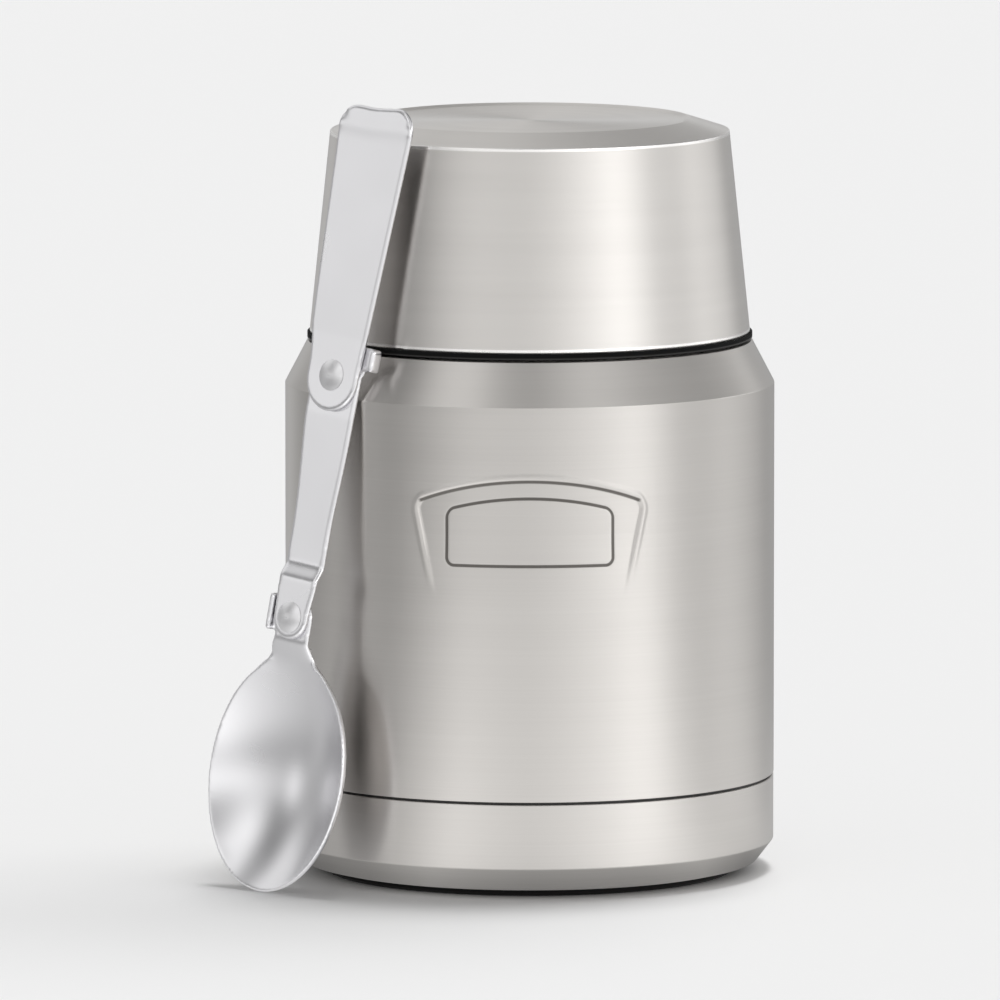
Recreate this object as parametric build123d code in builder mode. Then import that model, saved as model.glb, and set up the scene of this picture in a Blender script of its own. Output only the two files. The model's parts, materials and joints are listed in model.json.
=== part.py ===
"""Insulated food jar: a double-walled steel jar, its insulated stopper, its cup
lid and the folding spoon that stands against it. Millimetres, +Z up, origin at
the centre of the base pad's underside."""

from build123d import *
import os
from math import acos, atan2, cos, degrees, hypot, radians, sin, sqrt

os.makedirs("parts", exist_ok=True)


def save(part, name):
    """Label a finished piece and write it."""
    part.label = name
    export_step(part, "parts/" + name + ".step")


# ---------------------------------------------------------------- sizes
# Jar body
body_radius = 47.0
shell_thickness = 0.6
shoulder_z = 94.3  # where the straight wall ends
shoulder_rise = 8.2
shoulder_step = 4.3  # how far the shoulder comes in
ledge_width = 6.9  # flat ring between the shoulder and the neck
neck_height = 13.5  # from the ledge to the mouth

# Seam between the wall and the base cup
seam_z = 18.45  # top edge of the base cup
seam_width = 0.5
spigot_length = 10.0  # how far the wall's spigot reaches into the base cup
weld_gap = 0.05  # between sleeved walls that are welded or glued

# Base cup and pad
base_wall_step = 0.05  # the base cup's wall stands this far inside the body's
base_rim_z = 1.3
base_rim_width = 1.0
base_recess_z = 2.3
base_heel_step = 3.2  # the heel's edge inside the body's wall
base_heel_z = 2.0
base_chamfer_step = 0.6
base_chamfer_z = 5.1
base_wall_z = 6.5
base_rim_step = 2.9  # from the heel's edge in to the rim
pad_clearance = 0.25
pad_edge = 0.5
pad_groove_radii = (22.0, 33.0)
pad_groove_width = 1.2
pad_groove_depth = 0.5

# Food vessel inside the vacuum
liner_thickness = 0.5
vacuum_gap = 4.4  # between the two walls
neck_gap = 0.4  # between the two necks
liner_neck_drop = 2.0  # the straight neck ends this far below the ledge
liner_shoulder_drop = 0.8  # and the straight wall this far below the shoulder
liner_floor_z = 13.0
liner_floor_corner = 9.0
liner_seam_z = 26.0
foil_thickness = 0.15
foil_gap = 0.2
foil_low_gap = 4.0  # from the liner's seam
foil_high_gap = 3.5  # from the liner's shoulder

# Bottom plate of the vacuum space, with its sealing disc and getter
plate_z = 9.4
plate_flange = 3.2
tip_off_radius = 1.6
seal_radius = 6.0
seal_thickness = 0.6
getter_offset = 16.0
getter_cup_radius = 8.0
getter_cup_height = 1.6
getter_cup_wall = 0.4
getter_height = 1.0

# Stopper
ledge_clearance = 0.7  # between the jar's ledge and the stopper's skirt
skirt_clearance = 0.9  # around the neck
skirt_wall = 1.1
skirt_flange_width = 1.4
skirt_flange_height = 3.0
deck_gap = 1.5  # between the mouth and the underside of the deck
deck_thickness = 2.0
grip_step = 3.4  # the grip ring inside the skirt
grip_wall = 2.4
grip_height = 8.6
grip_flute_count = 24
grip_flute_radius = 1.4
clip_place = 19.0  # from the stopper's axis
clip_spacing = 13.0  # between the two clips' inner faces
clip_length = 9.0
clip_thickness = 1.8
clip_height = 6.0
clip_bead_radius = 0.8
plug_clearance = 1.0  # in the mouth
plug_wall = 1.5
plug_depth = 17.5  # from the underside of the deck
plug_seat_height = 5.0
plug_seat_step = 1.6
plug_lip_height = 1.0
plug_lip_step = 0.7
foam_gap = 0.2
gasket_clearance = 0.3
gasket_fin = 0.8

# Cup lid: a steel cup with a moulded lining
lid_gap = 1.6  # between the jar's ledge and the steel cup's edge
lid_thickness = 0.5
lid_edge_step = 0.4  # the lid's edge inside the shoulder's
lid_draft = 4.0  # how far the wall comes in on its way up
lid_wall_height = 38.7
lid_top_width = 7.6  # sloping ring between the rim and the crest
lid_top_rise = 2.4
lid_panel_step = 1.2  # the panel lies inside and below the crest
lid_panel_drop = 0.5
lid_hem_radius = 0.35
lid_edge_radii = [0.9, 0.8, 0.6]  # at the rim, the crest and the panel
lining_gap = 0.2
lining_wall = 1.5
lining_lip_overhang = 0.45  # outside the steel edge
lining_lip_height = 1.0
lining_lip_rise = 0.08  # from the top of the lip up to the steel edge

# Folding spoon
steel = 1.15  # sheet thickness
hinge_gap = 0.12  # between two plates at a hinge
running_clearance = 0.05
press_clearance = 0.02
rivet_radius = 1.5
rivet_head_radius = 3.0
rivet_head_height = 0.8
rivet_tail_radius = 2.4
rivet_tail_height = 0.6
countersink_depth = 0.6
bowl_length = 45.4
bowl_width = 32.7
bowl_depth = 7.6
bowl_start = 7.5  # from the lower rivet to the bowl's outline
bowl_drop = 0.75  # the bowl's rim plane below the link's back
neck_half_width = 4.3
neck_land = 4.6
neck_ramp = 2.8
neck_fillet = 3.0
link_length = 46.83  # rivet to rivet
link_low_half_width = 4.25
link_high_half_width = 6.1
link_straight = 16.0
joggle_start = 7.6
joggle_length = 2.3
handle_length = 51.6  # upper rivet to the handle's end
handle_low_half_width = 6.4
handle_low_drop = 0.45  # the round end's centre below the upper rivet
handle_high_half_width = 8.95
handle_straight = 7.0  # parallel part beside the stop tab
handle_square = 5.0  # parallel part at the end
handle_corner = 4.5
handle_end_joggle = 0.6
handle_end_length = 3.4
handle_end_ramp = 1.6
hinge_land = 7.5  # half length of the bent land at the upper rivet
hinge_tilt = 1.9  # degrees; lifts the folded handle over the lower rivet
tab_thickness = 1.1
tab_clearance = 0.3
low_tab_bottom = -3.2
low_tab_top = 3.9
high_tab_bottom = 2.0
high_tab_top = 6.5
tab_rise = 0.35  # how far a tab stands above the plate that it stops

# How the spoon stands against the jar
spoon_azimuth = 41.2  # degrees from the front towards -X
spoon_roll = 5.67  # degrees, towards +X
spoon_offset = 7.7  # strip's centre line from the point nearest the shoulder
shoulder_clearance = 0.45
lid_rim_clearance = 2.86
floor_clearance = 0.05

# ---------------------------------------------------------------- base pad
base_heel_radius = body_radius - base_heel_step
recess_radius = base_heel_radius - base_rim_step - base_rim_width
pad_radius = recess_radius - pad_clearance

with BuildPart() as base_pad:
    with BuildSketch():
        Circle(pad_radius)
    extrude(amount=base_recess_z - weld_gap)
    chamfer(base_pad.edges().group_by(Axis.Z)[0], length=pad_edge)
    with BuildSketch():
        for groove_radius in pad_groove_radii:
            Circle(groove_radius + pad_groove_width / 2)
            Circle(groove_radius - pad_groove_width / 2, mode=Mode.SUBTRACT)
    extrude(amount=pad_groove_depth, mode=Mode.SUBTRACT)
save(base_pad.part, "base_pad")

# ---------------------------------------------------------------- base cup
base_chamfer_radius = body_radius - base_chamfer_step
base_wall_radius = body_radius - base_wall_step

with BuildPart() as base_cup:
    with BuildSketch(Plane.XZ):
        with BuildLine():
            Polyline(
                (0, base_recess_z),
                (recess_radius, base_recess_z),
                (recess_radius, base_rim_z),
                (recess_radius + base_rim_width, base_rim_z),
                (base_heel_radius, base_heel_z),
                (base_chamfer_radius, base_chamfer_z),
                (base_wall_radius, base_wall_z),
                (base_wall_radius, seam_z),
            )
            offset(amount=shell_thickness, side=Side.LEFT, kind=Kind.INTERSECTION)
        make_face()
    revolve(axis=Axis.Z)
save(base_cup.part, "base_cup")

# ---------------------------------------------------------------- outer shell
spigot_radius = base_wall_radius - shell_thickness - weld_gap
wall_start_z = seam_z + seam_width
spigot_z = wall_start_z - spigot_length
shoulder_top_radius = body_radius - shoulder_step
ledge_z = shoulder_z + shoulder_rise
neck_radius = shoulder_top_radius - ledge_width
mouth_z = ledge_z + neck_height

with BuildPart() as outer_shell:
    with BuildSketch(Plane.XZ):
        with BuildLine():
            Polyline(
                (spigot_radius, spigot_z),
                (spigot_radius, wall_start_z),
                (body_radius, wall_start_z),
                (body_radius, shoulder_z),
                (shoulder_top_radius, ledge_z),
                (neck_radius, ledge_z),
                (neck_radius, mouth_z - liner_thickness),
            )
            offset(amount=shell_thickness, side=Side.LEFT, kind=Kind.INTERSECTION)
        make_face()
    revolve(axis=Axis.Z)
save(outer_shell.part, "outer_shell")

# ---------------------------------------------------------------- food vessel
liner_radius = body_radius - shell_thickness - vacuum_gap - liner_thickness
liner_mouth_radius = neck_radius - shell_thickness - neck_gap - liner_thickness
liner_neck_z = ledge_z - liner_neck_drop
liner_shoulder_z = shoulder_z - liner_shoulder_drop

with BuildPart() as inner_liner:
    with BuildSketch(Plane.XZ):
        with BuildLine():
            Polyline(
                (liner_radius, liner_seam_z),
                (liner_radius, liner_shoulder_z),
                (liner_mouth_radius, liner_neck_z),
                (liner_mouth_radius, mouth_z),
                (neck_radius, mouth_z),
            )
            offset(amount=liner_thickness, side=Side.RIGHT, kind=Kind.INTERSECTION)
        make_face()
    revolve(axis=Axis.Z)
save(inner_liner.part, "inner_liner")

with BuildPart() as liner_bottom:
    with BuildSketch(Plane.XZ):
        with BuildLine():
            FilletPolyline(
                (0, liner_floor_z),
                (liner_radius, liner_floor_z),
                (liner_radius, liner_seam_z),
                radius=liner_floor_corner,
            )
            offset(amount=liner_thickness, side=Side.RIGHT)
        make_face()
    revolve(axis=Axis.Z)
save(liner_bottom.part, "liner_bottom")

foil_radius = liner_radius + liner_thickness + foil_gap
foil_bottom_z = liner_seam_z + foil_low_gap
foil_top_z = liner_shoulder_z - foil_high_gap

with BuildPart() as foil_wrap:
    with BuildSketch(Plane.XY.offset(foil_bottom_z)):
        Circle(foil_radius + foil_thickness)
        Circle(foil_radius, mode=Mode.SUBTRACT)
    extrude(amount=foil_top_z - foil_bottom_z)
save(foil_wrap.part, "foil_wrap")

# ---------------------------------------------------------------- bottom plate
plate_radius = spigot_radius - shell_thickness - weld_gap
plate_top_z = plate_z + shell_thickness

with BuildPart() as bottom_plate:
    with BuildSketch(Plane.XZ):
        with BuildLine():
            Polyline(
                (0, plate_z),
                (plate_radius, plate_z),
                (plate_radius, plate_z + plate_flange),
            )
            offset(amount=shell_thickness, side=Side.LEFT, kind=Kind.INTERSECTION)
        make_face()
    revolve(axis=Axis.Z)
    with Locations((0, 0, plate_top_z)):
        Hole(tip_off_radius)
save(bottom_plate.part, "bottom_plate")

with BuildPart() as seal_disc:
    with BuildSketch(Plane.XY.offset(plate_z - seal_thickness)):
        Circle(seal_radius)
    extrude(amount=seal_thickness)
save(seal_disc.part, "seal_disc")

with BuildPart() as getter_cup:
    with BuildSketch(Plane.XY.offset(plate_top_z)):
        with Locations((getter_offset, 0)):
            Circle(getter_cup_radius)
    extrude(amount=getter_cup_height)
    offset(amount=-getter_cup_wall, openings=getter_cup.faces().sort_by(Axis.Z)[-1])
save(getter_cup.part, "getter_cup")

with BuildPart() as getter:
    with BuildSketch(Plane.XY.offset(plate_top_z + getter_cup_wall)):
        with Locations((getter_offset, 0)):
            Circle(getter_cup_radius - getter_cup_wall - weld_gap)
    extrude(amount=getter_height)
save(getter.part, "getter")

# ---------------------------------------------------------------- stopper
skirt_z = ledge_z + ledge_clearance
skirt_bore_radius = neck_radius + skirt_clearance
skirt_radius = skirt_bore_radius + skirt_wall
skirt_flange_radius = skirt_radius + skirt_flange_width
deck_z = mouth_z + deck_gap
tray_z = deck_z + deck_thickness
grip_z = tray_z + grip_height
grip_radius = skirt_radius - grip_step
tray_radius = grip_radius - grip_wall

with BuildPart() as stopper_cap:
    with BuildSketch(Plane.XZ):
        with BuildLine():
            Polyline(
                (0, deck_z),
                (skirt_bore_radius, deck_z),
                (skirt_bore_radius, skirt_z),
                (skirt_flange_radius, skirt_z),
                (skirt_flange_radius, skirt_z + skirt_flange_height),
                (skirt_radius, skirt_z + skirt_flange_height),
                (skirt_radius, tray_z),
                (grip_radius, tray_z),
                (grip_radius, grip_z),
                (tray_radius, grip_z),
                (tray_radius, tray_z),
                (0, tray_z),
                close=True,
            )
        make_face()
    revolve(axis=Axis.Z)
    with BuildSketch(Plane.XY.offset(tray_z)):
        with PolarLocations(grip_radius + grip_flute_radius / 2, grip_flute_count):
            Circle(grip_flute_radius)
    extrude(amount=grip_height, mode=Mode.SUBTRACT)
    with BuildSketch(Plane.XY.offset(tray_z)):
        with Locations((clip_place, 0)):
            with GridLocations(0, clip_spacing + clip_thickness, 1, 2):
                Rectangle(clip_length, clip_thickness)
    extrude(amount=clip_height)
    bead_z = tray_z + clip_height - clip_bead_radius
    with BuildSketch(Plane.YZ.offset(clip_place - clip_length / 2)):
        with Locations((0, bead_z)):
            with GridLocations(clip_spacing, 0, 2, 1):
                Circle(clip_bead_radius)
    extrude(amount=clip_length)
save(stopper_cap.part, "stopper_cap")

plug_radius = liner_mouth_radius - plug_clearance
plug_z = deck_z - plug_depth
seat_top_z = plug_z + plug_seat_height
seat_radius = plug_radius - plug_seat_step
plug_bore_radius = seat_radius - plug_wall
lip_top_z = plug_z + plug_lip_height

with BuildPart() as stopper_plug:
    with BuildSketch(Plane.XZ):
        with BuildLine():
            Polyline(
                (0, plug_z),
                (plug_radius - plug_lip_step, plug_z),
                (plug_radius - plug_lip_step, lip_top_z),
                (seat_radius, lip_top_z),
                (seat_radius, seat_top_z),
                (plug_radius, seat_top_z),
                (plug_radius, deck_z),
                (plug_bore_radius, deck_z),
                (plug_bore_radius, plug_z + plug_wall),
                (0, plug_z + plug_wall),
                close=True,
            )
        make_face()
    revolve(axis=Axis.Z)
save(stopper_plug.part, "stopper_plug")

with BuildPart() as stopper_foam:
    with BuildSketch(Plane.XY.offset(plug_z + plug_wall + foam_gap)):
        Circle(plug_bore_radius - foam_gap)
    extrude(amount=plug_depth - plug_wall - 2 * foam_gap)
save(stopper_foam.part, "stopper_foam")

gasket_radius = liner_mouth_radius - gasket_clearance
gasket_low_z = lip_top_z + weld_gap
gasket_high_z = seat_top_z - weld_gap
gasket_mid_z = (gasket_low_z + gasket_high_z) / 2
gasket_root_radius = (gasket_radius + seat_radius) / 2

with BuildPart() as stopper_gasket:
    with BuildSketch(Plane.XZ):
        with BuildLine():
            Polyline(
                (seat_radius + press_clearance, gasket_low_z),
                (gasket_root_radius, gasket_low_z),
                (gasket_radius, gasket_low_z + gasket_fin),
                (gasket_radius, gasket_low_z + gasket_fin + gasket_fin / 2),
                (gasket_root_radius, gasket_mid_z),
                (gasket_radius, gasket_high_z - gasket_fin / 2),
                (gasket_radius, gasket_high_z),
                (seat_radius + press_clearance, gasket_high_z),
                close=True,
            )
        make_face()
    revolve(axis=Axis.Z)
save(stopper_gasket.part, "stopper_gasket")

# ---------------------------------------------------------------- cup lid
lid_z = ledge_z + lid_gap
lid_rim_z = lid_z + lid_wall_height
lid_crest_z = lid_rim_z + lid_top_rise
lid_panel_z = lid_crest_z - lid_panel_drop
lid_edge_radius = shoulder_top_radius - lid_edge_step
lid_rim_radius = lid_edge_radius - lid_draft
lid_crest_radius = lid_rim_radius - lid_top_width
lid_panel_radius = lid_crest_radius - lid_panel_step
lid_path = [
    (lid_edge_radius, lid_z),
    (lid_rim_radius, lid_rim_z),
    (lid_crest_radius, lid_crest_z),
    (lid_panel_radius, lid_panel_z),
    (0, lid_panel_z),
]

with BuildPart() as cup_shell:
    with BuildSketch(Plane.XZ):
        with BuildLine():
            FilletPolyline(*lid_path, radius=lid_edge_radii)
            offset(amount=lid_thickness, side=Side.LEFT)
        make_face()
        with Locations((lid_edge_radius - lid_hem_radius, lid_z + lid_hem_radius)):
            Circle(lid_hem_radius)
    revolve(axis=Axis.Z)
save(cup_shell.part, "cup_shell")

lip_z = lid_z - lining_lip_rise - lining_lip_height
lining_depth = lid_thickness + lining_gap
lining_radius = lid_edge_radius - lining_depth
lining_lip_radius = lid_edge_radius + lining_lip_overhang

with BuildPart() as cup_lining:
    with BuildSketch(Plane.XZ):
        with BuildLine():
            Polyline(*lid_path)
            offset(amount=lining_depth + lining_wall, side=Side.LEFT, kind=Kind.INTERSECTION)
        make_face()
        with BuildLine():
            Polyline(*lid_path)
            offset(amount=lining_depth, side=Side.LEFT, kind=Kind.INTERSECTION)
        make_face(mode=Mode.SUBTRACT)
        with Locations((lining_lip_radius, lip_z)):
            Rectangle(
                lining_lip_radius - lining_radius + lining_wall,
                lining_lip_height,
                align=(Align.MAX, Align.MIN),
            )
    revolve(axis=Axis.Z)
save(cup_lining.part, "cup_lining")

# ---------------------------------------------------------------- spoon's place
# The strip's back leans on the shoulder's edge and stands off the lid's rim; the
# bowl's tip is on the floor. v runs across the spoon, u up it, n out of its face.
tilt = radians(hinge_tilt)
bend_place = link_length - hinge_land * cos(tilt)
handle_back = (steel + hinge_gap) * cos(tilt) - 2 * hinge_land * sin(tilt)

rim_inset = body_radius - lid_rim_radius
rim_rise = lid_rim_z - shoulder_z
standoff = lid_rim_clearance - shoulder_clearance - handle_back
lean = acos(standoff / hypot(rim_inset, rim_rise)) - atan2(rim_rise, rim_inset)
turn = radians(spoon_azimuth)
roll = radians(spoon_roll)

outward = Vector(-sin(turn), -cos(turn), 0)
across = Vector(cos(turn), -sin(turn), 0)
upward = Vector(0, 0, 1)
face_normal = outward * cos(lean) + upward * sin(lean)
slope = upward * cos(lean) - outward * sin(lean)
spoon_up = slope * cos(roll) + across * sin(roll)
spoon_right = across * cos(roll) - slope * sin(roll)

# The bowl is a piece of a prolate spheroid whose axis runs up the spoon, above
# the rim plane, so that the rim plane cuts its hollow in an ellipse, the bowl's
# outline. The sheet's edge is cut square to the rim plane.
hollow_depth = bowl_depth - steel
axis_rise = ((bowl_width / 2) ** 2 - hollow_depth**2) / (2 * hollow_depth)
hollow_radius = axis_rise + hollow_depth
hollow_length = bowl_length * hollow_radius / bowl_width
bulge_radius = hollow_radius + steel
bulge_length = hollow_length + steel
tip_place = bowl_length / 2 / bulge_length
tip_edge = bulge_radius * sqrt(1 - tip_place**2) - axis_rise

bowl_centre = bowl_start + bowl_length / 2
bowl_reach = bowl_centre * spoon_up.Z + hypot(
    spoon_up.Z * bowl_length / 2, spoon_right.Z * bowl_width / 2
)
bowl_back = bowl_drop + tip_edge
pivot_z = floor_clearance + bowl_reach + bowl_back * face_normal.Z
shoulder_point = outward * body_radius + upward * shoulder_z
off_strip = (
    shoulder_point + face_normal * shoulder_clearance - spoon_right * spoon_offset
)
pivot = off_strip - spoon_up * ((off_strip.Z - pivot_z) / spoon_up.Z)

# Face plane: x across, y up the spoon. Side plane: x up the spoon, y outwards.
# Section plane: x across, y outwards.
face = Plane(origin=pivot, x_dir=spoon_right, z_dir=face_normal)
side = Plane(origin=pivot, x_dir=spoon_up, z_dir=spoon_right)
section = Plane(origin=pivot, x_dir=spoon_right, z_dir=spoon_up * -1)

# The upper hinge's axis leans up the spoon by the tilt, through the bent land.
hinge_normal = face_normal * cos(tilt) + spoon_up * sin(tilt)
hinge_up = spoon_up * cos(tilt) - face_normal * sin(tilt)
hinge_point = pivot + spoon_up * bend_place + hinge_up * hinge_land
hinge_face = Plane(origin=hinge_point, x_dir=spoon_right, z_dir=hinge_normal)
hinge_section = Plane(origin=hinge_point, x_dir=spoon_right, z_dir=hinge_up * -1)

link_back = steel + hinge_gap  # the link's joggled end, in front of the neck
strip_reach = 12.0  # half width of the blanks that the outlines are cut from
overrun = 20.0  # how far a blank's profile runs past its outline

# ---------------------------------------------------------------- spoon bowl
rim_plane = face.offset(-bowl_drop)
bowl_axis_place = (-bowl_centre, axis_rise - bowl_drop)
bowl_axis = Axis(side.from_local_coords((*bowl_axis_place, 0)), spoon_up)

with BuildPart() as bowl_hollow:
    with BuildSketch(side):
        with Locations(bowl_axis_place):
            Ellipse(hollow_length, hollow_radius)
            Rectangle(
                2 * hollow_length,
                hollow_radius,
                align=(Align.CENTER, Align.MIN),
                mode=Mode.SUBTRACT,
            )
    revolve(axis=bowl_axis)
    split(bisect_by=rim_plane, keep=Keep.BOTTOM)

with BuildPart() as neck_plate:
    with BuildSketch(side):
        with BuildLine():
            Polyline(
                (-bowl_centre, -bowl_drop - steel),
                (-neck_land - neck_ramp, -bowl_drop - steel),
                (-neck_land, 0),
                (overrun, 0),
            )
            offset(amount=steel, side=Side.LEFT, kind=Kind.INTERSECTION)
        make_face()
    extrude(amount=strip_reach, both=True)

low_tab_inner = link_low_half_width + tab_clearance
low_tab_outer = low_tab_inner + tab_thickness
low_tab_length = low_tab_top - low_tab_bottom

with BuildPart() as spoon_bowl:
    with BuildSketch(side):
        with Locations(bowl_axis_place):
            Ellipse(bulge_length, bulge_radius)
            Rectangle(
                2 * bulge_length,
                bulge_radius,
                align=(Align.CENTER, Align.MIN),
                mode=Mode.SUBTRACT,
            )
    revolve(axis=bowl_axis)
    split(bisect_by=rim_plane, keep=Keep.BOTTOM)
    add(neck_plate.part)
    add(bowl_hollow.part, mode=Mode.SUBTRACT)
    with BuildSketch(face.offset(-bulge_radius)) as bowl_outline:
        Circle(neck_half_width)
        Rectangle(2 * neck_half_width, bowl_centre, align=(Align.CENTER, Align.MAX))
        with Locations((0, -bowl_centre)):
            Ellipse(bowl_width / 2, bowl_length / 2)
        neck_corners = bowl_outline.vertices().filter_by(
            lambda corner: -bowl_start - neck_half_width < corner.Y < -neck_land
        )
        fillet(neck_corners, radius=neck_fillet)
    extrude(amount=2 * bulge_radius, mode=Mode.INTERSECT)
    with BuildSketch(face):
        with Locations((-low_tab_outer, low_tab_bottom)):
            Rectangle(low_tab_outer, low_tab_length, align=Align.MIN)
    extrude(amount=steel)
    with BuildSketch(face):
        with Locations((-low_tab_outer, low_tab_bottom)):
            Rectangle(tab_thickness, low_tab_length, align=Align.MIN)
    extrude(amount=link_back + steel + tab_rise)
    with Locations(face):
        Hole(rivet_radius + press_clearance)
save(spoon_bowl.part, "spoon_bowl")

low_head_back = link_back + steel + running_clearance

with BuildPart() as lower_rivet:
    with BuildSketch(section):
        with BuildLine():
            Polyline(
                (0, low_head_back + rivet_head_height),
                (0, -rivet_tail_height),
                (rivet_tail_radius, -rivet_tail_height),
                (rivet_tail_radius, 0),
                (rivet_radius, 0),
                (rivet_radius, low_head_back),
                (rivet_head_radius, low_head_back),
            )
            RadiusArc(
                (rivet_head_radius, low_head_back),
                (0, low_head_back + rivet_head_height),
                -(rivet_head_radius**2 + rivet_head_height**2) / (2 * rivet_head_height),
            )
        make_face()
    revolve(axis=Axis(pivot, face_normal))
save(lower_rivet.part, "lower_rivet")

# ---------------------------------------------------------------- spoon link
high_tab_inner = handle_low_half_width + tab_clearance
high_tab_outer = high_tab_inner + tab_thickness
high_tab_length = high_tab_top - high_tab_bottom

with BuildPart() as spoon_link:
    with BuildSketch(side):
        with BuildLine():
            Polyline(
                (-overrun, link_back),
                (joggle_start, link_back),
                (joggle_start + joggle_length, 0),
                (bend_place, 0),
                (bend_place + overrun * cos(tilt), -overrun * sin(tilt)),
            )
            offset(amount=steel, side=Side.LEFT, kind=Kind.INTERSECTION)
        make_face()
    extrude(amount=strip_reach, both=True)
    with BuildSketch(face.offset(-strip_reach)):
        with BuildLine():
            ThreePointArc(
                (-link_low_half_width, 0),
                (0, -link_low_half_width),
                (link_low_half_width, 0),
            )
            Line((link_low_half_width, 0), (link_low_half_width, link_straight))
            Spline(
                (link_low_half_width, link_straight),
                (link_high_half_width, link_length),
                tangents=((0, 1), (0, 1)),
            )
            ThreePointArc(
                (link_high_half_width, link_length),
                (0, link_length + link_high_half_width),
                (-link_high_half_width, link_length),
            )
            Spline(
                (-link_high_half_width, link_length),
                (-link_low_half_width, link_straight),
                tangents=((0, -1), (0, -1)),
            )
            Line((-link_low_half_width, link_straight), (-link_low_half_width, 0))
        make_face()
    extrude(amount=2 * strip_reach, mode=Mode.INTERSECT)
    with BuildSketch(hinge_face):
        with Locations((high_tab_outer, high_tab_bottom)):
            Rectangle(high_tab_outer, high_tab_length, align=(Align.MAX, Align.MIN))
    extrude(amount=steel)
    with BuildSketch(hinge_face):
        with Locations((high_tab_outer, high_tab_bottom)):
            Rectangle(tab_thickness, high_tab_length, align=(Align.MAX, Align.MIN))
    extrude(amount=link_back + steel + tab_rise)
    with Locations(face):
        Hole(rivet_radius + running_clearance)
    with Locations(Plane(origin=hinge_point, x_dir=spoon_right, z_dir=hinge_normal * -1)):
        CounterSinkHole(
            rivet_radius + press_clearance,
            rivet_tail_radius + press_clearance,
            counter_sink_angle=2
            * degrees(atan2(rivet_tail_radius - rivet_radius, countersink_depth)),
        )
save(spoon_link.part, "spoon_link")

high_head_back = link_back + steel + running_clearance

with BuildPart() as upper_rivet:
    with BuildSketch(hinge_section):
        with BuildLine():
            Polyline(
                (0, high_head_back + rivet_head_height),
                (0, 0),
                (rivet_tail_radius, 0),
                (rivet_radius, countersink_depth),
                (rivet_radius, high_head_back),
                (rivet_head_radius, high_head_back),
            )
            RadiusArc(
                (rivet_head_radius, high_head_back),
                (0, high_head_back + rivet_head_height),
                -(rivet_head_radius**2 + rivet_head_height**2) / (2 * rivet_head_height),
            )
        make_face()
    revolve(axis=Axis(hinge_point, hinge_normal))
save(upper_rivet.part, "upper_rivet")

# ---------------------------------------------------------------- spoon handle
handle_end = link_length + handle_length
handle_low = link_length - handle_low_drop
handle_land_end = (
    bend_place + 2 * hinge_land * cos(tilt) + link_back * sin(tilt),
    handle_back,
)
handle_land_start = (
    bend_place + link_back * sin(tilt),
    link_back * cos(tilt),
)

with BuildPart() as spoon_handle:
    with BuildSketch(side):
        with BuildLine():
            Polyline(
                handle_land_start,
                handle_land_end,
                (handle_end - handle_end_length - handle_end_ramp, handle_back),
                (handle_end - handle_end_length, handle_back - handle_end_joggle),
                (handle_end + overrun, handle_back - handle_end_joggle),
            )
            offset(amount=steel, side=Side.LEFT, kind=Kind.INTERSECTION)
        make_face()
    extrude(amount=strip_reach, both=True)
    with BuildSketch(face.offset(-strip_reach)) as handle_outline:
        with BuildLine():
            Polyline(
                (handle_low_half_width, handle_low),
                (handle_low_half_width, link_length + handle_straight),
                (handle_high_half_width, handle_end - handle_square),
                (handle_high_half_width, handle_end),
                (-handle_high_half_width, handle_end),
                (-handle_high_half_width, handle_end - handle_square),
                (-handle_low_half_width, link_length + handle_straight),
                (-handle_low_half_width, handle_low),
            )
            ThreePointArc(
                (-handle_low_half_width, handle_low),
                (0, handle_low - handle_low_half_width),
                (handle_low_half_width, handle_low),
            )
        make_face()
        fillet(handle_outline.vertices().group_by(Axis.Y)[-1], radius=handle_corner)
    extrude(amount=2 * strip_reach, mode=Mode.INTERSECT)
    with Locations(hinge_face):
        Hole(rivet_radius + running_clearance)
save(spoon_handle.part, "spoon_handle")
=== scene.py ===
import json
from math import cos, hypot, pi, radians, sin

import bpy
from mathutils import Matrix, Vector


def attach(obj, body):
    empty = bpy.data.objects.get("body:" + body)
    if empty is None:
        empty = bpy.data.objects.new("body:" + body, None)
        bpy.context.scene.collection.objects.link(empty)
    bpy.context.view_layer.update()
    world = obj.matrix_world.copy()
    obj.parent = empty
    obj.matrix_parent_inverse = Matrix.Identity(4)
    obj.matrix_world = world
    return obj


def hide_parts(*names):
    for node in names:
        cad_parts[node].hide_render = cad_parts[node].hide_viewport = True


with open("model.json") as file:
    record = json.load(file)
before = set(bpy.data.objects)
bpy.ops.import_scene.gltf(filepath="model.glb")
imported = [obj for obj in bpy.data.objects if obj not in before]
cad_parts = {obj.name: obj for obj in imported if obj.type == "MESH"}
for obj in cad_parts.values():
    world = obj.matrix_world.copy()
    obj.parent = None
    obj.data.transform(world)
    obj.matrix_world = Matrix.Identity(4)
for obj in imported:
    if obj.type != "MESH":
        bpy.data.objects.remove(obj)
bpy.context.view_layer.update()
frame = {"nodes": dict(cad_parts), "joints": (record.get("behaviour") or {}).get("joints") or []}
nodes = frame["nodes"]


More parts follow.
